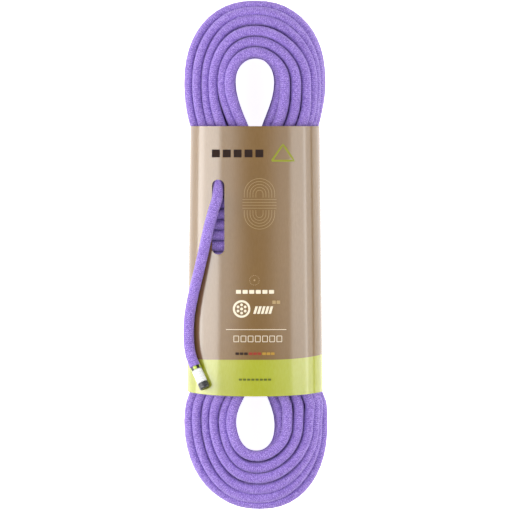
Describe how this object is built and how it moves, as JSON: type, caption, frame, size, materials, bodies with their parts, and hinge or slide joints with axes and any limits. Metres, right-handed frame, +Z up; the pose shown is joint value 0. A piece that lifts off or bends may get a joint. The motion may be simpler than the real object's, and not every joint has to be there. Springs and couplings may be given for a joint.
{
  "type": "dynamic climbing rope",
  "caption": "Kernmantle climbing rope wound into a long hank with an eye at both ends, wrapped at the waist, in a folded board sleeve with a slot that one rope end comes out of.",
  "frame": {"origin": "on the sleeve's flat back, halfway across the pack and 116 mm from the sleeve's top end", "axes": "+Y along the hank, towards the end of the slot that the tail comes out of; +Z up, out of the sleeve's front; +X to the right with the front facing the viewer"},
  "size_m": [0.1312, 0.4666, 0.136],
  "materials": {
    "sheath": "woven polyamide sheath, lilac purple with a soft sheen",
    "core": "white twisted polyamide core strands",
    "board": "brown board with a satin face and a printed lime band",
    "glue": "dried hot glue",
    "label": "white paper label",
    "film": "clear shrunk film",
    "band": "printed lime and dark band",
    "cap": "black dipped tip"
  },
  "bodies": {
    "hank": {"rope_hank": "sheath", "waist_wraps": "sheath", "exit_turn": "sheath", "inner_end_sealed_core": "core", "inner_end_label": "label", "inner_end_label_film": "film", "inner_end_marker_band": "band", "inner_end_cap": "cap"},
    "sleeve": {"board_sleeve": "board", "sleeve_glue_strip": "glue"},
    "tail": {"tail_sheath": "sheath", "tail_core_strand_1": "core", "tail_core_strand_2": "core", "tail_core_strand_3": "core", "tail_core_strand_4": "core", "tail_core_strand_5": "core", "tail_core_strand_6": "core", "tail_core_strand_7": "core", "tail_end_sealed_core": "core", "tail_end_label": "label", "tail_end_label_film": "film", "tail_end_marker_band": "band", "tail_end_cap": "cap"}
  },
  "joints": [
    {"name": "sleeve_slide", "type": "slide", "parent": "hank", "child": "sleeve", "axis": [0, 1, 0], "range_m": [0, 0.006]},
    {"name": "tail_lift", "type": "hinge", "parent": "hank", "child": "tail", "pos_m": [-0.0367, 0.0428, 0.1358], "axis": [-1, 0, 0], "range_deg": [0, 90]}
  ]
}
